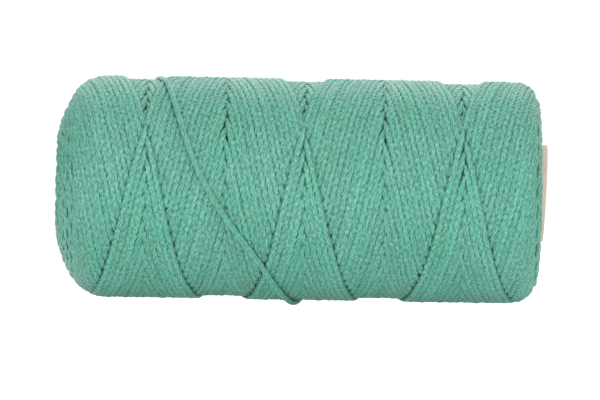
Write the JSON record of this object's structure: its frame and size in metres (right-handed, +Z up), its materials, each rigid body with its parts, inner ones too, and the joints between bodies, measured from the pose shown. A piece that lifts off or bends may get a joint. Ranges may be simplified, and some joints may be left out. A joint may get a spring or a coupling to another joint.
{
  "type": "fishing line tube",
  "caption": "Twisted nylon fishing line, cross-wound in full covers on a spiral paper tube, with its last wrap loose on top.",
  "frame": {"origin": "on the bore's axis, at the middle of the paper tube's length", "axes": "+X along the bore towards the end where the paper tube stands out of the line; +Z up as the tube lies on its side; the side with the loose wrap's long diagonal faces -Y"},
  "size_m": [0.1546, 0.0728, 0.0728],
  "materials": {
    "line": "twisted nylon, soft sheen",
    "kraft_paper": "matte calendered kraft paper",
    "core_board": "matte grey-brown core board"
  },
  "bodies": {
    "root": {"core_inner_liner": "kraft_paper", "core_body_ply_1": "core_board", "core_body_ply_2": "core_board", "core_body_ply_3": "core_board", "core_outer_ply": "kraft_paper", "line_start_tail": "line", "line_cover_1": "line", "line_cover_2": "line", "line_cover_3": "line", "line_cover_4": "line", "line_cover_5": "line", "line_cover_6": "line", "line_cover_7": "line", "line_cover_8": "line", "line_last_wrap": "line"}
  },
  "joints": []
}
